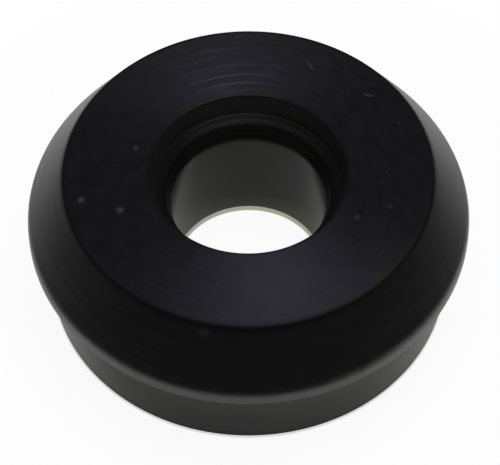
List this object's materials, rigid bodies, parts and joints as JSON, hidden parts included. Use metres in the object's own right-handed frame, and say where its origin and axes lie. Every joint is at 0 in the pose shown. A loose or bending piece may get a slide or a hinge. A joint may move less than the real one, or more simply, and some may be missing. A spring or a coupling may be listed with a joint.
{
  "type": "gasket",
  "caption": "Round black gasket with a conical nose, a narrow rim, a plain cylindrical seat and a stepped recess leading into a through bore.",
  "frame": {"origin": "centre of the flat underside, on the bore's axis", "axes": "+Z along the bore, from the underside to the recessed face; the ring is round, so X and Y are equal"},
  "size_m": [0.03, 0.03, 0.0112],
  "materials": {
    "black_rubber": "turned, satin, with fine circular tool marks"
  },
  "bodies": {
    "root": {"gasket": "black_rubber"}
  },
  "joints": []
}
